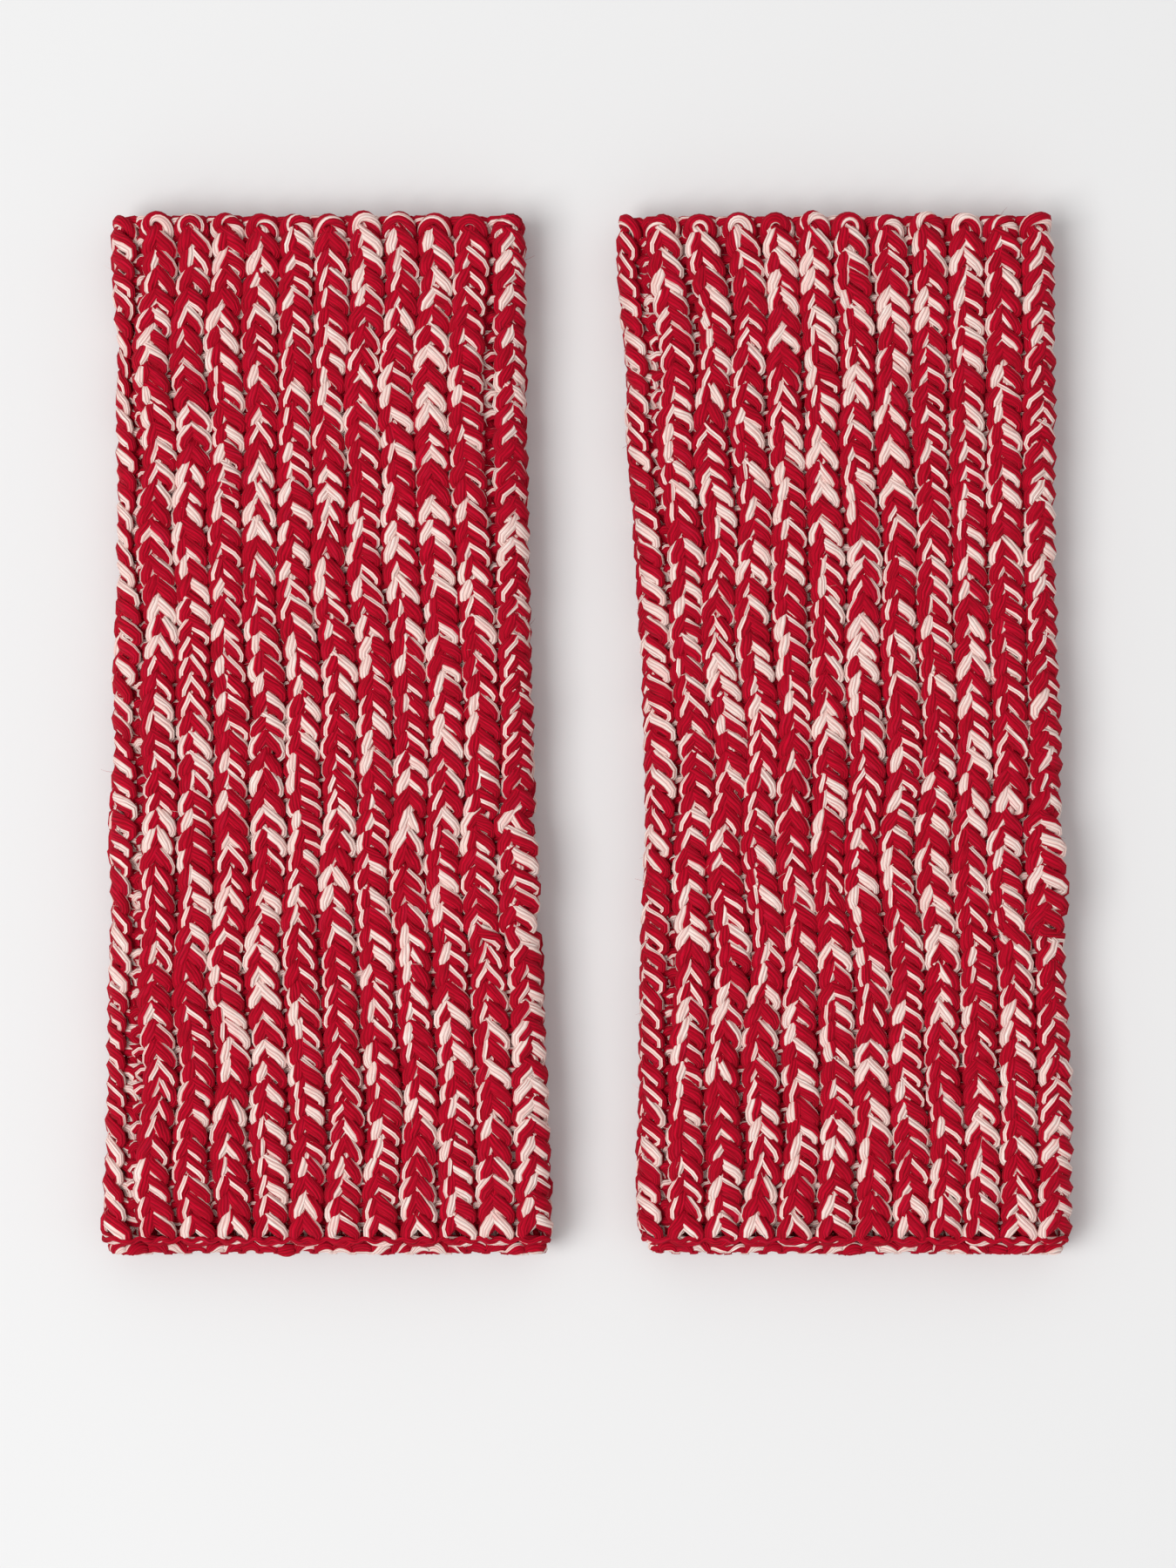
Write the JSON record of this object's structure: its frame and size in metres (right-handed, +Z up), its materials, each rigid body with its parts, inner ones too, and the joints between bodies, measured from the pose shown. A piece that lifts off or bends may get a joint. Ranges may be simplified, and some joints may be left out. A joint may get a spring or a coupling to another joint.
{
  "type": "fingerless gloves",
  "caption": "Pair of chunky rib-knitted tubular fingerless gloves lying flat, each open at both ends with a thumb slit in its side seam.",
  "frame": {"origin": "middle of the pair's bounding box, on the surface that the gloves lie on", "axes": "+X runs across the pair from the left glove to the right one, +Y from the finger ends to the arm ends, +Z up from the surface"},
  "size_m": [0.2248, 0.2404, 0.0158],
  "materials": {
    "marled_rib_knit": "soft chunky wool, red and cream strands twisted together",
    "edge_rows": "the same marled wool, in the rounded cast-on and bind-off rows",
    "seam_yarn": "the same wool, sewn along the side seam"
  },
  "bodies": {
    "left_palm_half": {"left_palm_layer": "marled_rib_knit", "left_palm_cast_on_edge": "edge_rows", "left_palm_bind_off_edge": "edge_rows", "left_palm_fold_side": "marled_rib_knit", "left_palm_seam_side_finger": "marled_rib_knit", "left_palm_seam_side_arm": "marled_rib_knit", "left_palm_thumb_edge": "marled_rib_knit", "left_seam_yarn_finger": "seam_yarn", "left_seam_yarn_arm": "seam_yarn"},
    "left_back_half": {"left_back_layer": "marled_rib_knit", "left_back_cast_on_edge": "edge_rows", "left_back_bind_off_edge": "edge_rows", "left_back_fold_side": "marled_rib_knit", "left_back_seam_side_finger": "marled_rib_knit", "left_back_seam_side_arm": "marled_rib_knit", "left_back_thumb_edge": "marled_rib_knit"},
    "right_palm_half": {"right_palm_layer": "marled_rib_knit", "right_palm_cast_on_edge": "edge_rows", "right_palm_bind_off_edge": "edge_rows", "right_palm_fold_side": "marled_rib_knit", "right_palm_seam_side_finger": "marled_rib_knit", "right_palm_seam_side_arm": "marled_rib_knit", "right_palm_thumb_edge": "marled_rib_knit", "right_seam_yarn_finger": "seam_yarn", "right_seam_yarn_arm": "seam_yarn"},
    "right_back_half": {"right_back_layer": "marled_rib_knit", "right_back_cast_on_edge": "edge_rows", "right_back_bind_off_edge": "edge_rows", "right_back_fold_side": "marled_rib_knit", "right_back_seam_side_finger": "marled_rib_knit", "right_back_seam_side_arm": "marled_rib_knit", "right_back_thumb_edge": "marled_rib_knit"}
  },
  "joints": [
    {"name": "left_tube_opens", "type": "slide", "parent": "left_palm_half", "child": "left_back_half", "axis": [0, 0, 1], "range_m": [0, 0.02]},
    {"name": "right_glove_apart", "type": "slide", "parent": "left_palm_half", "child": "right_palm_half", "axis": [1, 0, 0], "range_m": [0, 0.06]},
    {"name": "right_tube_opens", "type": "slide", "parent": "right_palm_half", "child": "right_back_half", "axis": [0, 0, 1], "range_m": [0, 0.02]}
  ]
}
